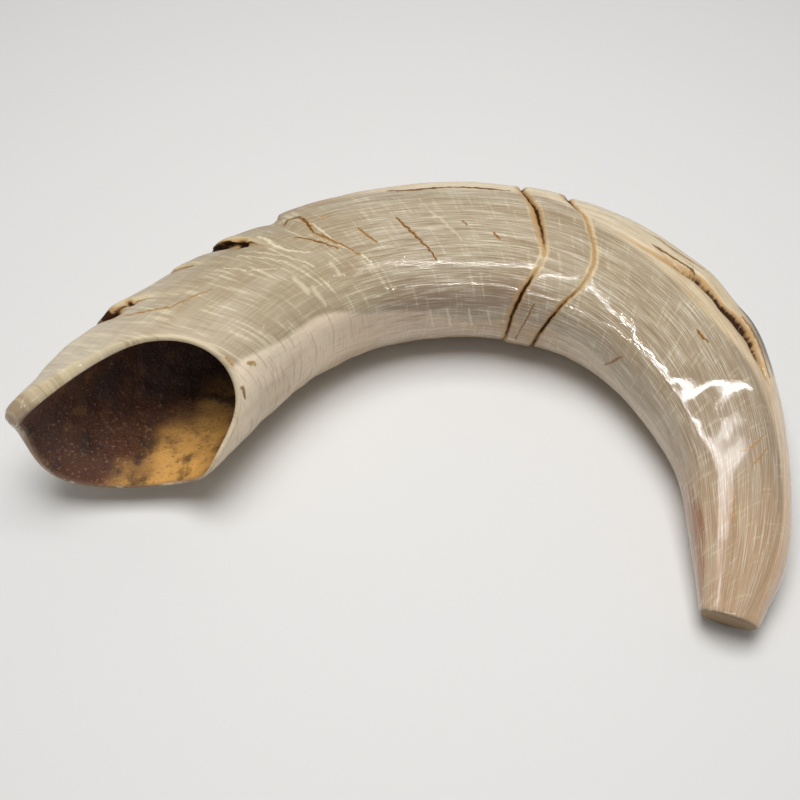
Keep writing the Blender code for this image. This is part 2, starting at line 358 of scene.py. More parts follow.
def place(s, angle, radius):
    """Points, in metres, at a radius from the centre line. Near the tip the sections lean over to the cut."""
    centre, forward, outward, upward = frame_at(s)
    across, height = radius * np.cos(np.radians(angle)), radius * np.sin(np.radians(angle))
    lean = np.tan(np.radians(TIP_CUT_LEAN)) * np.maximum(1 - (TIP - s) / TIP_CUT_BLEND, 0) ** 2
    point = centre + across[..., None] * outward + height[..., None] * (upward + lean[..., None] * forward)
    return (point - ORIGIN) * MM


def column_angles():
    """Angles of the columns: even steps, then drawn together round the crowded angle by a sine."""
    even = FIRST_COLUMN + np.arange(COLUMNS) * 360 / COLUMNS
    return even - CROWDING * np.degrees(np.sin(np.radians(even - CROWDED_ANGLE)))


def outer_rings(angle):
    """Distances of the outer rings at each angle: close beside each ledge and groove, evenly between them."""
    lines = [line_at(number, angle) for number in range(len(LEDGES) + len(GROOVES))]
    starts = [around(MOUTH_EDGE, angle)] + [line + BESIDE_LINE[-1] for line in lines]
    ends = [line + BESIDE_LINE[0] for line in lines] + [np.full_like(angle, TIP - TIP_BEVEL)]
    rings = [starts[0]]
    for number, (start, end) in enumerate(zip(starts, ends)):
        steps = RINGS_BETWEEN_LINES[number] + 1
        rings += [start + (end - start) * k / steps for k in range(1, steps + 1)]
        if number < len(lines):
            rings += [lines[number] + beside for beside in BESIDE_LINE[1:]]
    return np.array(rings)


def hollow_rings(angle):
    """Distances of the rings in the hollow, from its end to the rim, closer in the part that shows."""
    edge = around(MOUTH_EDGE, angle)
    turn = edge + SHALLOW_DEPTH
    deep = [HOLLOW_END + (turn - HOLLOW_END) * np.sin(k * np.pi / 2 / DEEP_RINGS) ** 2
            for k in range(1, DEEP_RINGS + 1)]
    shallow = [turn + (edge - turn) * k / SHALLOW_RINGS for k in range(1, SHALLOW_RINGS + 1)]
    return np.array(deep + shallow)


# Colours of the horn's zones by distance along it, as red, green and blue out of 255.
TOP_COLOURS = {40: (207, 193, 172), 95: (184, 169, 143), 118: (170, 155, 127), 150: (172, 155, 126),
               180: (182, 168, 144), 215: (180, 166, 140), 235: (168, 148, 120), 260: (174, 157, 129),
               300: (168, 152, 126), 340: (166, 144, 118), 365: (190, 158, 124), 396: (196, 162, 126)}
KEEL_COLOURS = {40: (206, 190, 162), 90: (204, 190, 168), 130: (178, 158, 128), 150: (166, 138, 104),
                175: (222, 198, 162), 210: (236, 216, 184), 260: (226, 208, 176), 290: (222, 200, 162),
                310: (226, 200, 164), 330: (244, 216, 180), 396: (222, 176, 132)}
INNER_COLOURS = {40: (240, 222, 194), 85: (250, 232, 206), 130: (250, 230, 204), 155: (232, 208, 180),
                 180: (204, 176, 146), 210: (198, 168, 136), 240: (180, 150, 116), 270: (196, 174, 146),
                 330: (188, 168, 142), 360: (154, 106, 64), 396: (170, 122, 80)}
UNDER_COLOURS = {40: (206, 186, 158), 150: (190, 168, 138), 200: (166, 142, 108), 396: (188, 160, 126)}
# The belly's brown is partly the horn's own and partly painted shade on the inner face below the shoulder.
BELLY_BROWN_AND_SHADE = (126, 88, 50)
RIM_COLOURS = {0: (168, 142, 116), 25: (176, 150, 122), 50: (214, 196, 156), 90: (224, 208, 172),
               150: (226, 208, 178), 200: (220, 198, 164), 225: (150, 120, 92), 270: (112, 86, 66),
               310: (140, 112, 88), 340: (160, 134, 108), 360: (168, 142, 116)}
# The hollow's dark brown is partly its own colour and partly painted shade on its top and outer side; its
# gold is partly its own amber and partly painted light on its lower inner side.
HOLLOW_BROWN_AND_SHADE, HOLLOW_GOLD_AND_LIGHT, HOLLOW_LOW = (78, 42, 25), (222, 166, 88), (92, 50, 26)
# The cut's olive brown is partly its own colour and partly painted shade, as the cut faces away from the
# light.
TIP_CUT_BROWN_AND_SHADE = (128, 110, 84)

# Colours that the materials lay over those zones, and the floor's.
PAINTS = {
    "pale fibre": (237, 229, 210), "dark fibre": (132, 106, 82), "pale cloud": (214, 203, 184),
    "brown cloud": (158, 134, 102), "pale growth": (222, 210, 180), "dark growth": (156, 136, 108),
    "fleck": (234, 222, 192), "fretted edge": (228, 208, 164), "cream mark": (232, 220, 190),
    "gold fringe": (192, 150, 92), "brown crack": (104, 68, 36), "grey patch": (70, 64, 60),
    # The crevice colour is painted shade in recesses, partly the horn's own brown.
    "crevice_shade": (62, 38, 20), "hollow shade": (44, 26, 22), "hollow light": (150, 104, 62),
    "hollow pale grain": (196, 156, 112), "hollow dark grain": (50, 30, 20),
    # The saw mark colours are partly the cut's own colour and partly painted shade.
    "dark shaded saw mark": (128, 102, 68), "pale shaded saw mark": (160, 132, 94), "floor": (231, 230, 228),
}

# The glossy shoulder's first and last degrees and where it begins along the horn, and where the tip does.
GLOSSY_FROM, GLOSSY_TO, GLOSSY_BEND, GLOSSY_TIP = (120, 134), (190, 230), (150, 168), (300, 322)
DULL_POLISH = 0.18

# Where the pinkish band on the inside of the bend begins, in degrees, the brown band beside it, and the
# cream band along the keel.
INNER_BAND_EDGE = {40: 122, 84: 136, 100: 141, 115: 145, 133: 151, 151: 156, 183: 166, 207: 178, 240: 176,
                   300: 178, 340: 172, 362: 152, 396: 146}
# The brown band is partly the horn's own brown and partly painted shade.
BELLY_ANGLE, BELLY_WIDTH, BELLY_STARTS, BELLY_ENDS = 158, 16, (152, 178), (224, 248)
KEEL_BAND_MIDDLE = {40: 20, 150: 26, 200: 30, 235: 40, 270: 52, 300: 44, 330: 30, 396: 14}
KEEL_BAND_WIDTH = {40: 14, 150: 17, 200: 18, 235: 22, 270: 27, 300: 27, 330: 28, 396: 30}


def linear(colour):
    """Display colours out of 255 turned into the linear light that the renderer works in."""
    share = np.asarray(colour, float) / 255
    return np.where(share <= 0.04045, share / 12.92, ((share + 0.055) / 1.055) ** 2.4)


def mixed(first, second, amount):
    return first + (second - first) * amount[..., None]


def rim_colour(angle):
    return linear(blend_along(RIM_COLOURS, np.mod(angle, 360)))


def skin_colour(s, angle):
    """Ground colour of the skin: top, belly, inner, keel and under zones that run into each other; the
    belly's brown is partly painted shade.
    """
    wander = 3.0 * np.sin(s / 17) + 2.0 * np.sin(s / 7.3 + 2)
    colour = linear(blend_along(TOP_COLOURS, s))
    # The brown belly band is partly painted shade on the inner face that turns from the overhead light.
    belly = bell(turned(angle, BELLY_ANGLE) + wander, BELLY_WIDTH)
    belly = belly * rise_to(s, *BELLY_STARTS) * (1 - rise_to(s, *BELLY_ENDS))
    colour = mixed(colour, linear(BELLY_BROWN_AND_SHADE), 0.62 * belly)
    inner = turned(angle, 90) + 90 - along(INNER_BAND_EDGE, s) + wander
    colour = mixed(colour, linear(blend_along(INNER_COLOURS, s)), rise_to(inner, -2, 2))
    off_keel = np.abs(turned(angle, along(KEEL_BAND_MIDDLE, s)) + wander)
    colour = mixed(colour, linear(blend_along(KEEL_COLOURS, s)),
                   1 - rise_to(off_keel, along(KEEL_BAND_WIDTH, s) - 5, along(KEEL_BAND_WIDTH, s) + 4))
    under = np.abs(turned(angle, 262))
    colour = mixed(colour, linear(blend_along(UNDER_COLOURS, s)), 1 - rise_to(under, 45, 82))
    from_rim = s - around(MOUTH_EDGE, angle)
    return mixed(colour, rim_colour(angle), 0.8 * (1 - rise_to(from_rim, 0.3, 1.8)))


def crevice_shading(s, angle):
    """How brown and dark the skin is in grooves, under ledges, beside the flange and in pits, from 0 to 1:
    partly the horn's own brown, partly painted shade in these recesses.
    """
    dark = np.zeros_like(s)
    for number, cream in enumerate(GROOVE_CREAM):
        off = s - line_at(len(LEDGES) + number, angle)
        depth = 1 - 0.65 * around(cream, angle)
        dark = np.maximum(dark, depth * bell(off, 0.75) * (0.85 + 0.2 * waver(angle * 2, number)))
        dark = np.maximum(dark, 0.3 * depth * bell(off + 0.6, 2.0))
    for number, (_, _, _, reach, middle, half_arc, _) in enumerate(LEDGES):
        past = s - line_at(number, angle)
        edge = np.where(past > 0, bell(past, 0.3), bell(past, 1.1))
        dark = np.maximum(dark, min(reach, 1) * edge * bell(turned(angle, middle), half_arc * 0.72))
    undercut = along(UNDERCUT_DEPTH, s) / 1.8 * bell(flange_inside(s, angle) + 1.0, 2.2)
    return np.clip(np.maximum(np.maximum(dark, undercut), pits(s, angle) / 1.4), 0, 1)


def creams(s, angle):
    """How cream the skin is: the fretted sides of the grooves, and the lips of the ledges."""
    cream = np.zeros_like(s)
    for number, table in enumerate(GROOVE_CREAM):
        off = s - line_at(len(LEDGES) + number, angle)
        sides = bell(np.abs(off) - 1.25, 0.5) * (0.75 + 0.35 * waver(angle * 2 + 40, number))
        middle = 0.6 * bell(off, 0.5) * rise_to(around(table, angle), 0.9, 1.0) * (number == 0)
        cream = np.maximum(cream, np.clip(around(table, angle), 0, 1) * np.maximum(sides, middle))
    for number, (_, _, _, reach, middle, half_arc, _) in enumerate(LEDGES):
        past = s - line_at(number, angle)
        lip = np.where(past > 0, bell(past - 1.2, 1.2), 0) * min(reach, 1)
        cream = np.maximum(cream, 0.7 * lip * bell(turned(angle, middle + 14), half_arc * 0.8))
    return np.clip(cream, 0, 1)


def polish(s, angle):
    """How glossy the skin is: high on the shoulder from the bend on and all over the tip, low elsewhere."""
    degrees = turned(angle, 90) + 90
    side = rise_to(degrees, *GLOSSY_FROM) * (1 - rise_to(degrees, *GLOSSY_TO)) * rise_to(s, *GLOSSY_BEND)
    tip = rise_to(s, *GLOSSY_TIP)
    return DULL_POLISH + (1 - DULL_POLISH) * np.maximum(side, tip)


def streaks(s, angle):
    """How strongly the fibres show: faint on the smooth skin near the mouth, and full from the bend on."""
    from_rim = s - around(MOUTH_EDGE, angle)
    return (0.30 + 0.70 * rise_to(s, 128, 176)) * rise_to(from_rim, 0.5, 6)


def hollow_colour(s, angle):
    """Dark brown at the hollow's top and outer side, partly painted shade, gold on its lower inner side,
    partly painted light, cream at the rim.
    """
    gold = rise_to(np.cos(np.radians(angle - 238)) + 0.12 * lumps(s, angle, 24, 4, 3), 0.58, 1.02)
    # Painted shade on the hollow's top and outer side and painted light on its lower inner side, over its own
    # brown and amber.
    colour = mixed(np.broadcast_to(linear(HOLLOW_BROWN_AND_SHADE), s.shape + (3,)), linear(HOLLOW_GOLD_AND_LIGHT), gold)
    low = rise_to(np.cos(np.radians(angle - 300)), 0.7, 1) * (1 - gold)
    colour = mixed(colour, linear(HOLLOW_LOW), low * 0.7)
    from_rim = s - around(MOUTH_EDGE, angle)
    return mixed(colour, rim_colour(angle), 0.6 * (1 - rise_to(from_rim, 0.2, 1.6)))


def rim_rings(angle):
    """Three rings that carry the hollow over the rounded rim to the skin."""
    edge = around(MOUTH_EDGE, angle)
    inside, outside = inner_radius(edge, angle), outer_radius(edge, angle)
    rings = []
    for k in (3, 2, 1):
        turn = k * np.pi / 4
        radius = (outside + inside) / 2 + (outside - inside) / 2 * np.cos(turn)
        rings.append((edge - RIM_ROUNDING * (outside - inside) * np.sin(turn), radius))
    return rings


# The skin is painted in bands along the horn, each with the marks that lie in it and MARK_REACH mm past it,
# because one material with all of the marks would be too long for the renderer.
BAND_ENDS = [108, 136, 160, 198, 228, 262, 400]
HOLLOW, CUT = len(BAND_ENDS), len(BAND_ENDS) + 1
MARK_REACH = 4
# The crevice field carries painted shade in the recesses, partly the horn's own brown.
FIELDS = ("crevice_shade", "cream", "polish", "streak")


def horn_grid():
    """Every ring of the horn in order, as arrays of points, distances, colours, crevices and finish."""
    angle = column_angles()
    rows = []

    def add(s, radius, colour, finish, fields=None, shown_s=None):
        point = place(s if shown_s is None else shown_s, angle, radius)
        rows.append((point, s, colour, np.zeros((4, COLUMNS)) if fields is None else fields, finish))

    def plain(s, colour):
        return np.broadcast_to(linear(colour), s.shape + (3,))

    for s in hollow_rings(angle):
        add(s, inner_radius(s, angle), hollow_colour(s, angle), HOLLOW)
    for s, radius in rim_rings(angle):
        add(s, radius, rim_colour(angle), 0, np.array([0, 0, 0.6, 0])[:, None] + np.zeros((4, COLUMNS)))
    outer = outer_rings(angle)
    turns = np.broadcast_to(angle, outer.shape)
    radius, colour = outer_radius(outer, turns), skin_colour(outer, turns)
    # The crevice values are partly painted shade in the recesses, partly the horn's own brown.
    dark, shown = crevice_shading(outer, turns), outer - overhang(outer, turns)
    fields = np.stack([dark, creams(outer, turns), polish(outer, turns) * (1 - dark),
                       streaks(outer, turns)], axis=1)
    for k, s in enumerate(outer):
        add(s, radius[k], colour[k], np.searchsorted(BAND_ENDS, s.mean()), fields[k], shown[k])
    end = np.full_like(angle, TIP)
    face = outer_radius(end, angle) - TIP_BEVEL
    for k in range(TIP_RINGS):
        add(end, face * (1 - k / TIP_RINGS), plain(end, TIP_CUT_BROWN_AND_SHADE), CUT)
    return angle, rows


def horn_mesh():
    """One closed skin of quads between neighbouring rings, with a fan of triangles at each pole."""
    angle, rows = horn_grid()
    count, rings = COLUMNS, len(rows)
    poles = [place(np.array(s), np.array(0.0), np.array(0.0)) for s in (HOLLOW_END, TIP)]
    points = np.concatenate([np.stack([row[0] for row in rows]).reshape(-1, 3), poles])
    column, after = np.arange(count), (np.arange(count) + 1) % count
    low = (np.arange(rings - 1) * count)[:, None]
    quads = np.stack([low + column, low + count + column, low + count + after, low + after], axis=-1)
    quads = quads.reshape(-1, 4)
    last = (rings - 1) * count
    first_fan = np.stack([np.full(count, rings * count), column, after], axis=-1)
    last_fan = np.stack([last + column, np.full(count, rings * count + 1), last + after], axis=-1)
    mesh = bpy.data.meshes.new("horn")
    mesh.from_pydata(points.tolist(), [], quads.tolist() + first_fan.tolist() + last_fan.tolist())
    distances = np.stack([row[1] for row in rows])
    add_coordinates(mesh, distances, angle, quads, first_fan, last_fan)
    colour = np.concatenate([np.stack([row[2] for row in rows]).reshape(-1, 3),
                             [linear(HOLLOW_BROWN_AND_SHADE), linear(TIP_CUT_BROWN_AND_SHADE)]])
    fields = np.stack([row[3] for row in rows]).transpose(1, 0, 2).reshape(len(FIELDS), -1)
    ground = mesh.attributes.new("ground", "FLOAT_COLOR", "POINT")
    ground.data.foreach_set("color", np.column_stack([colour, np.ones(len(colour))]).ravel())
    for name, values in zip(FIELDS, fields):
        mesh.attributes.new(name, "FLOAT", "POINT").data.foreach_set("value", np.append(values, [0, 0]))
    finish = np.array([row[4] for row in rows])
    faces = np.where(finish[:-1] == HOLLOW, finish[1:], finish[:-1])
    faces = np.concatenate([np.repeat(faces, count), np.full(count, HOLLOW), np.full(count, CUT)])
    mesh.polygons.foreach_set("material_index", faces.astype(np.int32))
    mesh.shade_smooth()
    mesh.set_sharp_from_angle(angle=np.radians(50))
    return mesh


def add_coordinates(mesh, distances, angle, quads, first_fan, last_fan):
    """Stores where each point lies: "fibre" wraps the skin round a cylinder, and the UV map lays it flat."""
    turn = np.broadcast_to(np.radians(angle), distances.shape)
    fibre = np.stack([distances, MEAN_RADIUS * np.cos(turn), MEAN_RADIUS * np.sin(turn)], axis=-1)
    fibre = np.concatenate([fibre.reshape(-1, 3), [(HOLLOW_END, 0, 0), (TIP, 0, 0)]])
    mesh.attributes.new("fibre", "FLOAT_VECTOR", "POINT").data.foreach_set("vector", fibre.ravel())
    lag = fibre.copy()
    lag[:distances.size, 0] = growth(distances, np.broadcast_to(angle, distances.shape)).ravel()
    mesh.attributes.new("growth", "FLOAT_VECTOR", "POINT").data.foreach_set("vector", lag.ravel())
    corners = np.concatenate([quads.ravel(), first_fan.ravel(), last_fan.ravel()])
    size = distances.size
    distance = np.append(distances.reshape(-1), [HOLLOW_END, TIP])[corners]
    column = np.where(corners < size, corners % COLUMNS, -1)
    turned_from_seam = (np.append(angle, 0) - angle[0])[column]
    quad_column = np.tile(np.repeat(np.arange(COLUMNS), 4), len(quads) // COLUMNS)
    fan_column = np.repeat(np.arange(COLUMNS), 3)
    owner = np.concatenate([quad_column, fan_column, fan_column])
    wraps = (owner == COLUMNS - 1) & (column == 0)
    turned_from_seam = np.where(column < 0, (angle - angle[0])[owner], turned_from_seam) + 360 * wraps
    flat = np.stack([distance / TIP, turned_from_seam / 360], axis=-1)
    mesh.uv_layers.new(name="laid_flat").data.foreach_set("uv", flat.ravel())


class Finish:
    """A material's node tree, with short calls that make a node and return its output."""

    def __init__(self, name):
        self.material = bpy.data.materials.new(name)
        self.material.use_nodes = True
        self.tree = self.material.node_tree
        self.surface = self.tree.nodes["Principled BSDF"]

    def node(self, kind, values, out=0, **settings):
        node = self.tree.nodes.new("ShaderNode" + kind)
        for name, value in settings.items():
            setattr(node, name, value)
        for socket, value in values.items():
            self.put(node.inputs[socket], value)
        return node.outputs[out]

    def put(self, socket, value):
        if isinstance(value, bpy.types.NodeSocket):
            self.tree.links.new(value, socket)
        else:
            socket.default_value = value

    def attribute(self, name, out):
        return self.node("Attribute", {}, out, attribute_name=name)

    def math(self, operation, first, second=0.0, third=0.0, clamp=False):
        return self.node("Math", {0: first, 1: second, 2: third}, operation=operation, use_clamp=clamp)

    def vector(self, operation, first, second=(0, 0, 0), third=(0, 0, 0), out=0):
        return self.node("VectorMath", {0: first, 1: second, 2: third}, out, operation=operation)

    def noise(self, place, detail=3.0, roughness=0.55, distortion=0.0):
        return self.node("TexNoise", {"Vector": place, "Scale": 1.0, "Detail": detail,
                                      "Roughness": roughness, "Distortion": distortion})

    def between(self, value, low, high, to_low=0.0, to_high=1.0):
        values = {0: value, 1: low, 2: high, 3: to_low, 4: to_high}
        return self.node("MapRange", values, interpolation_type="SMOOTHSTEP")

    def mix(self, amount, first, second, blend="MIX"):
        return self.node("Mix", {0: amount, 6: first, 7: second}, 2, data_type="RGBA", blend_type=blend)

    def bump(self, height, strength, distance, normal=None):
        values = {"Height": height, "Strength": strength, "Distance": distance}
        if normal is not None:
            values["Normal"] = normal
        return self.node("Bump", values)


def paint(name):
    return tuple(linear(PAINTS[name])) + (1.0,)


def stroke_group():
    """Cover of a tapering stroke: the place's nearest point on its run, then a smooth fall over its width."""
    group = bpy.data.node_groups.new("stroke", "ShaderNodeTree")
    for name in ("Place", "Start", "Run", "Across", "Widths"):
        group.interface.new_socket(name, in_out="INPUT", socket_type="NodeSocketVector")
    group.interface.new_socket("Cover", in_out="OUTPUT", socket_type="NodeSocketFloat")
    nodes, links = group.nodes, group.links
    source, result = nodes.new("NodeGroupInput"), nodes.new("NodeGroupOutput")

    def vector(operation, *inputs, out=0):
        node = nodes.new("ShaderNodeVectorMath")
        node.operation = operation
        for socket, value in zip(node.inputs, inputs):
            links.new(value, socket)
        return node.outputs[out]

    away = vector("SUBTRACT", source.outputs["Place"], source.outputs["Start"])
    reached = vector("DOT_PRODUCT", away, source.outputs["Across"], out="Value")
    share = nodes.new("ShaderNodeClamp")
    links.new(reached, share.inputs["Value"])
    run = nodes.new("ShaderNodeVectorMath")
    run.operation = "SCALE"
    links.new(source.outputs["Run"], run.inputs[0])
    links.new(share.outputs[0], run.inputs["Scale"])
    distance = vector("DISTANCE", away, run.outputs[0], out="Value")
    widths = nodes.new("ShaderNodeSeparateXYZ")
    links.new(source.outputs["Widths"], widths.inputs[0])
    width = nodes.new("ShaderNodeMath")
    width.operation = "MULTIPLY_ADD"
    links.new(share.outputs[0], width.inputs[0])
    links.new(widths.outputs[1], width.inputs[1])
    links.new(widths.outputs[0], width.inputs[2])
    cover = nodes.new("ShaderNodeMapRange")
    cover.interpolation_type = "SMOOTHSTEP"
    links.new(distance, cover.inputs["Value"])
    links.new(width.outputs[0], cover.inputs["From Max"])
    cover.inputs["To Min"].default_value, cover.inputs["To Max"].default_value = 1.0, 0.0
    strength = nodes.new("ShaderNodeMath")
    strength.operation = "MULTIPLY"
    links.new(cover.outputs[0], strength.inputs[0])
    links.new(widths.outputs[2], strength.inputs[1])
    links.new(strength.outputs[0], result.inputs[0])
    return group


# Millimetres per degree on the skin laid flat, and how much wider strokes are drawn than their lists say.
ARC = MEAN_RADIUS * np.pi / 180
WIDEN = 1.3


def flat_place(s, angle):
    """A place on the skin laid flat, in mm from the seam."""
    return np.array([s, np.mod(angle - column_angles()[0], 360) * ARC, 0.0])


def strokes(finish, group, place, lines, start, end):
    """The greatest cover of the lines that lie between two distances along the horn."""
    total = 0.0
    for points, strength in lines:
        for (s0, a0, w0), (s1, a1, w1) in zip(points[:-1], points[1:]):
            if max(s0, s1) + MARK_REACH < start or min(s0, s1) - MARK_REACH > end:
                continue
            run = flat_place(s1, a1) - flat_place(s0, a0)
            node = finish.tree.nodes.new("ShaderNodeGroup")
            node.node_tree = group
            finish.put(node.inputs["Place"], place)
            node.inputs["Start"].default_value = flat_place(s0, a0)
            node.inputs["Run"].default_value = run
            node.inputs["Across"].default_value = run / run.dot(run)
            node.inputs["Widths"].default_value = (w0 * WIDEN, (w1 - w0) * WIDEN, strength)
            total = finish.math("MAXIMUM", total, node.outputs[0])
    return total


# Marks on the skin: lines through points (s, angle, half width in mm), each with a strength.
BROWN_LINES = [
    ([(180, 46, 0.5), (190, 50, 1.0), (200, 48, 0.7), (210, 50, 1.0), (219, 51, 0.4)], 0.9),
    ([(144, 55, 0.8), (149, 58, 1.3), (149, 72, 1.2), (148, 86, 0.7)], 0.75),
    ([(148, 86, 0.8), (153, 100, 1.0), (160, 116, 0.6)], 0.6),
    ([(142, 82, 0.5), (147, 94, 0.7), (153, 107, 0.4)], 0.7),
    ([(80, 46, 0.5), (83, 60, 0.6), (89, 77, 0.5), (104, 88, 0.3)], 0.5),
    ([(106, 36, 0.7), (109, 41, 1.5), (111, 47, 0.7)], 0.8),
    ([(164, 93, 0.5), (166, 101, 1.1), (169, 110, 0.5)], 0.6),
    ([(179, 88, 0.5), (182, 100, 0.9), (185, 110, 0.8), (192, 129, 0.4)], 0.7),
    ([(203, 96, 0.5), (205, 100, 0.6)], 0.6),
    ([(215, 108, 0.5), (217, 113, 0.6)], 0.6),
    ([(298, 95, 0.6), (301, 95, 1.3), (304, 93, 0.5)], 0.65),
    ([(282, 178, 0.7), (285, 168, 1.6), (288, 156, 0.6)], 0.7),
    ([(344, 100, 0.4), (342, 86, 0.6), (339, 74, 0.4)], 0.4),
    ([(349, 90, 0.4), (346, 80, 0.6), (343, 72, 0.4)], 0.4),
    ([(358, 110, 0.4), (363, 111, 0.6), (368, 110, 0.4)], 0.35),
    ([(266, 60, 0.5), (273, 58, 1.0), (281, 56, 0.5)], 0.75),
    ([(264, 44, 0.5), (272, 43, 1.0), (281, 42, 0.5)], 0.6),
    ([(300, 46, 0.8), (310, 42, 1.3), (319, 42, 0.5)], 0.6),
    ([(236, 154, 0.6), (234, 170, 0.9), (230, 198, 0.5)], 0.7),
    ([(85, 152, 0.9), (85, 160, 0.9)], 0.6),
    ([(86, 132, 0.8), (86, 137, 0.8)], 0.45),
    ([(92, 143, 0.7), (94, 146, 0.7)], 0.45),
]
CREAM_LINES = [
    ([(149, 70, 0.5), (152, 92, 0.5), (154, 105, 0.5), (160, 116, 0.5), (164, 124, 0.4)], 0.8),
    ([(125, 72, 0.4), (132, 93, 0.5), (140, 114, 0.4)], 0.6),
    ([(121, 72, 0.4), (132, 102, 0.4)], 0.6),
    ([(119, 92, 0.4), (127, 102, 0.4)], 0.5),
    ([(134, 60, 0.8), (134, 83, 0.8), (136, 92, 0.7), (142, 102, 0.4)], 0.8),
    ([(114, 76, 0.4), (118, 90, 0.4)], 0.6),
    ([(192, 86, 0.5), (198, 102, 0.8), (203, 115, 0.5)], 0.4),
    ([(188, 168, 0.6), (190, 186, 0.6)], 0.6),
    ([(196, 167, 0.8), (198, 186, 0.8)], 0.6),
    ([(206, 167, 0.7), (208, 186, 0.7)], 0.6),
    ([(215, 168, 0.6), (217, 184, 0.6)], 0.5),
    ([(130, 116, 1.5), (131, 128, 1.5)], 0.5),
    ([(134, 128, 1.5), (135, 140, 1.2)], 0.5),
    ([(147, 116, 1.2), (148, 126, 1.2)], 0.5),
    ([(233, 118, 0.7), (234.5, 128, 0.8), (233, 138, 0.7)], 0.7),
]
GREY_PATCH = [([(298, 34, 3.0), (306, 34, 4.6), (316, 31, 2.6)], 0.9)]


def polished_horn(number, start, end, group):
    """Lengthwise fibres of cream and brown over the ground colour, flecks, marks, and a glossy polish."""
    f = Finish(f"polished_horn_{number}")
    fibre = f.attribute("fibre", "Vector")
    ground, crevice_shade = f.attribute("ground", "Color"), f.attribute("crevice_shade", "Fac")
    flat = f.vector("MULTIPLY", f.node("UVMap", {}, uv_map="laid_flat"), (TIP, 360 * ARC, 0))
    stir = f.node("TexNoise", {"Vector": fibre, "Scale": 0.45, "Detail": 3.0}, "Color")
    stirred = f.vector("MULTIPLY_ADD", f.vector("SUBTRACT", stir, (0.5, 0.5, 0.5)), (2.4, 2.4, 0), flat)

    cream_field, gloss, streak = [f.attribute(name, "Fac") for name in FIELDS[1:]]
    growth_lines = f.attribute("growth", "Vector")
    fine = f.noise(f.vector("MULTIPLY", fibre, (1 / 11, 1 / 0.27, 1 / 0.27)), 2.0)
    coarse = f.noise(f.vector("MULTIPLY", fibre, (1 / 34, 1 / 1.5, 1 / 1.5)), 3.0)
    broad = f.noise(f.vector("MULTIPLY", fibre, (1 / 45, 1 / 11, 1 / 11)), 2.0)
    across = f.noise(f.vector("MULTIPLY", growth_lines, (1 / 1.5, 1 / 13, 1 / 13)), 3.0)
    threads = f.math("MULTIPLY_ADD", coarse, 0.42, fine)
    pale = f.math("MULTIPLY", f.between(threads, 0.725, 0.90), streak)
    dark = f.math("MULTIPLY", f.between(threads, 0.69, 0.53), streak)
    colour = f.mix(f.math("MULTIPLY", pale, 0.62), ground, paint("pale fibre"))
    colour = f.mix(f.math("MULTIPLY", dark, 0.6), colour, paint("dark fibre"))
    colour = f.mix(f.between(broad, 0.5, 0.72, 0, 0.34), colour, paint("brown cloud"))
    colour = f.mix(f.between(broad, 0.5, 0.28, 0, 0.26), colour, paint("pale cloud"))
    soft = f.math("SUBTRACT", 1.15, streak)
    pale_growth = f.math("MULTIPLY", f.between(across, 0.52, 0.68, 0, 0.5), soft)
    colour = f.mix(pale_growth, colour, paint("pale growth"))
    dark_growth = f.math("MULTIPLY", f.between(across, 0.48, 0.34, 0, 0.4), soft)
    colour = f.mix(dark_growth, colour, paint("dark growth"))
    flecks = f.math("MULTIPLY", f.between(across, 0.56, 0.66), f.between(fine, 0.42, 0.60))
    colour = f.mix(f.math("MULTIPLY", flecks, 0.4), colour, paint("fleck"))
    fretted = f.math("MULTIPLY", cream_field, f.between(fine, 0.3, 0.5, 0.4, 1.0))
    colour = f.mix(fretted, colour, paint("fretted edge"))

    cream = strokes(f, group, stirred, CREAM_LINES, start, end)
    colour = f.mix(cream, colour, paint("cream mark"))
    brown = strokes(f, group, stirred, BROWN_LINES, start, end)
    brown = f.math("MULTIPLY", brown, f.between(fine, 0.25, 0.5, 0.55, 1.0))
    fringe = f.math("MAXIMUM", f.between(brown, 0.02, 0.3), f.between(crevice_shade, 0.04, 0.22))
    fringe = f.math("MULTIPLY", fringe, f.between(fine, 0.3, 0.55, 0.25, 0.9))
    colour = f.mix(fringe, colour, paint("gold fringe"))
    colour = f.mix(f.between(brown, 0.25, 0.75), colour, paint("brown crack"))
    colour = f.mix(strokes(f, group, stirred, GREY_PATCH, start, end), colour, paint("grey patch"))
    # Painted shade in the grooves, under the ledges, in the flange's undercut and in the pits, over the
    # horn's own brown.
    jagged = f.math("MULTIPLY", crevice_shade, f.between(across, 0.3, 0.6, 0.75, 1.3))
    colour = f.mix(f.between(jagged, 0.25, 0.8), colour, paint("crevice_shade"))
    f.put(f.surface.inputs["Base Color"], colour)

    scratches = f.noise(f.vector("MULTIPLY", fibre, (1 / 5, 1 / 0.4, 1 / 0.4)), 3.0)
    threads = f.math("ADD", scratches, f.math("MULTIPLY", fine, 0.6))
    relief = f.bump(f.math("MULTIPLY", brown, -1.0), 0.7, 0.0005, f.bump(threads, 0.6, 0.00015))
    f.put(f.surface.inputs["Normal"], relief)
    f.put(f.surface.inputs["Coat Normal"], f.bump(threads, 0.5, 0.00005))
    f.put(f.surface.inputs["Coat Weight"], gloss)
    f.put(f.surface.inputs["Roughness"], f.between(crevice_shade, 0.0, 0.6, 0.5, 0.8))
    f.surface.inputs["Specular IOR Level"].default_value = 0.1
    f.surface.inputs["Coat Roughness"].default_value = 0.04
    f.surface.inputs["Coat IOR"].default_value = 1.52
    return f.material


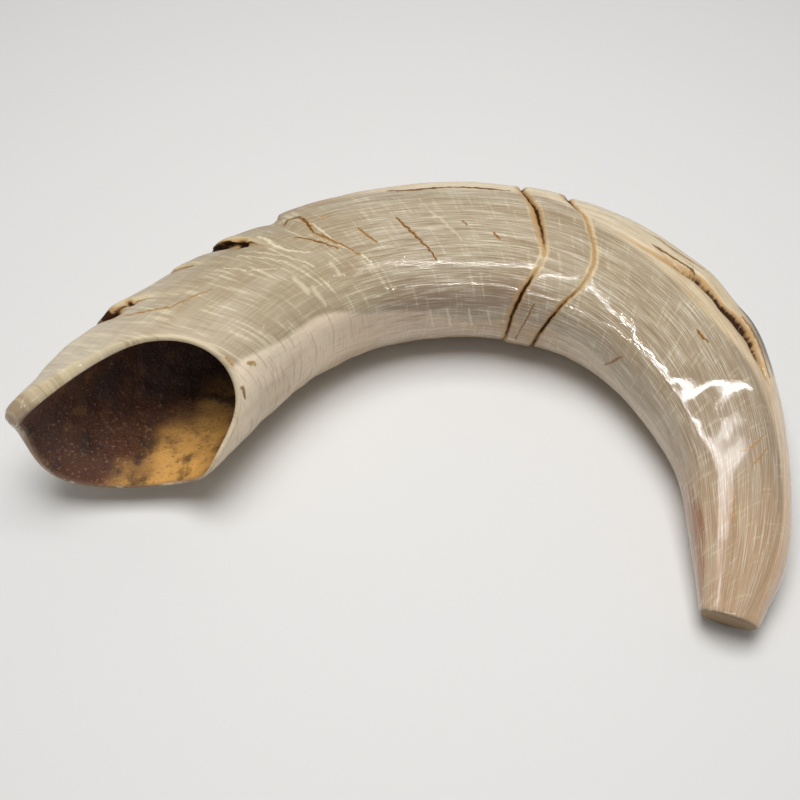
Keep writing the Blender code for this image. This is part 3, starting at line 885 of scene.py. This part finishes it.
def rough_hollow():
    """Coarse grain in two sizes over the hollow's colour, dull, with strong relief."""
    f = Finish("rough_hollow")
    ground = f.attribute("ground", "Color")
    place = f.node("TexCoord", {}, "Object")
    grain = f.node("TexNoise", {"Vector": place, "Scale": 900.0, "Detail": 4.0, "Roughness": 0.7})
    blotch = f.node("TexNoise", {"Vector": place, "Scale": 120.0, "Detail": 4.0, "Roughness": 0.6})
    colour = f.mix(f.between(blotch, 0.48, 0.70, 0, 0.75), ground, paint("hollow shade"))
    colour = f.mix(f.between(blotch, 0.46, 0.30, 0, 0.45), colour, paint("hollow light"))
    colour = f.mix(f.between(grain, 0.55, 0.70, 0, 0.5), colour, paint("hollow pale grain"))
    colour = f.mix(f.between(grain, 0.45, 0.30, 0, 0.6), colour, paint("hollow dark grain"))
    f.put(f.surface.inputs["Base Color"], colour)
    f.put(f.surface.inputs["Normal"], f.bump(grain, 0.8, 0.0006, f.bump(blotch, 0.6, 0.002)))
    f.surface.inputs["Roughness"].default_value = 0.62
    return f.material


def shaded_sawn_tip():
    """Dull olive brown with faint saw marks; the olive brown is partly the cut's own colour and partly
    painted shade, as the cut faces away from the light.
    """
    f = Finish("shaded_sawn_tip")
    place = f.node("TexCoord", {}, "Object")
    marks = f.noise(f.vector("MULTIPLY", place, (500, 500, 6000)), 3.0)
    # The tone is partly painted shade on the cut.
    tone = f.mix(f.between(marks, 0.3, 0.7), paint("dark shaded saw mark"), paint("pale shaded saw mark"))
    f.put(f.surface.inputs["Base Color"], tone)
    f.put(f.surface.inputs["Normal"], f.bump(marks, 0.4, 0.0002))
    f.surface.inputs["Roughness"].default_value = 0.55
    return f.material


def build_horn():
    mesh = horn_mesh()
    group = stroke_group()
    for number, end in enumerate(BAND_ENDS):
        start = BAND_ENDS[number - 1] if number else 0
        mesh.materials.append(polished_horn(number + 1, start, end, group))
    mesh.materials.append(rough_hollow())
    mesh.materials.append(shaded_sawn_tip())
    horn = bpy.data.objects.new("horn_body", mesh)
    bpy.context.scene.collection.objects.link(horn)
    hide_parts("ram_horn")
    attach(horn, "root")
    return horn


# The floor, the lamps and the camera, in metres and watts. The bars are bright lamps, BAR_WIDTH across, that
# run through the points of each list and only show as reflections. The soft light is x, y, z, size, watts.
FLOOR_HALF_WIDTH = 1.5
TENT_LIGHT = 0.20
BAR_WIDTH = 0.004
BAR_BRIGHTNESS = 100
BARS = [
    [(0.34, -0.46, 0.52), (0.15, -0.46, 0.30), (-0.10, -0.46, 0.22), (-0.32, -0.43, 0.21),
     (-0.40, -0.30, 0.40), (-0.32, -0.15, 0.50)],
    [(-0.32, -0.15, 0.50), (0.07, -0.01, 0.50), (0.58, 0.22, 0.50)],
]
SOFT_LIGHT = (0.0, 0.02, 0.72, 0.42, 4.7)
CAMERA_TARGET = (-0.00279, -0.00383, 0.02061)
CAMERA_DISTANCE = 0.400
CAMERA_ELEVATION = 55
CAMERA_LENS = 51.4


def face(item, place, target, along=None):
    """Puts an item at a place, looking down its own -Z at the target, with its X along a given direction."""
    away = Vector(place) - Vector(target)
    side = Vector(along) if along is not None else Vector((0, 0, 1)).cross(away)
    away -= away.project(side)
    axes = Matrix((side.normalized(), away.cross(side).normalized(), away.normalized())).transposed()
    item.matrix_world = Matrix.Translation(place) @ axes.to_4x4()


def lamp(name, place, width, depth, watts, along=(1, 0, 0)):
    light = bpy.data.lights.new(name, "AREA")
    light.shape = "RECTANGLE"
    light.size, light.size_y, light.energy = width, depth, watts
    item = bpy.data.objects.new(name, light)
    face(item, place, (0, 0, 0), along)
    bpy.context.scene.collection.objects.link(item)
    return item


def build_studio():
    mesh = bpy.data.meshes.new("floor")
    reach = FLOOR_HALF_WIDTH
    corners = [(-reach, -reach, 0), (reach, -reach, 0), (reach, reach, 0), (-reach, reach, 0)]
    mesh.from_pydata(corners, [], [(0, 1, 2, 3)])
    paper = Finish("pale_floor")
    paper.surface.inputs["Base Color"].default_value = paint("floor")
    paper.surface.inputs["Roughness"].default_value = 0.7
    mesh.materials.append(paper.material)
    floor = bpy.data.objects.new("floor", mesh)
    bpy.context.scene.collection.objects.link(floor)
    for number, bar in enumerate(BARS):
        for step, (start, end) in enumerate(zip(bar[:-1], bar[1:])):
            run = Vector(end) - Vector(start)
            watts = BAR_BRIGHTNESS * np.pi * run.length * BAR_WIDTH
            place = (Vector(start) + Vector(end)) / 2
            lamp(f"bar_{number}_{step}", place, run.length, BAR_WIDTH, watts, run).visible_diffuse = False
    x, y, z, size, watts = SOFT_LIGHT
    lamp("soft_ceiling", (x, y, z), size, size, watts).visible_glossy = False
    bpy.context.scene.view_settings.view_transform = "Standard"
    world = bpy.data.worlds.new("tent")
    world.use_nodes = True
    world.node_tree.nodes["Background"].inputs["Color"].default_value = (1, 1, 1, 1)
    world.node_tree.nodes["Background"].inputs["Strength"].default_value = TENT_LIGHT
    bpy.context.scene.world = world


def build_camera():
    camera = bpy.data.cameras.new("camera")
    camera.lens, camera.sensor_width = CAMERA_LENS, 36.0
    item = bpy.data.objects.new("camera", camera)
    tilt = np.radians(CAMERA_ELEVATION)
    away = np.array([0, -np.cos(tilt), np.sin(tilt)]) * CAMERA_DISTANCE
    face(item, np.array(CAMERA_TARGET) + away, CAMERA_TARGET)
    bpy.context.scene.collection.objects.link(item)
    bpy.context.scene.camera = item


build_horn()
build_studio()
build_camera()
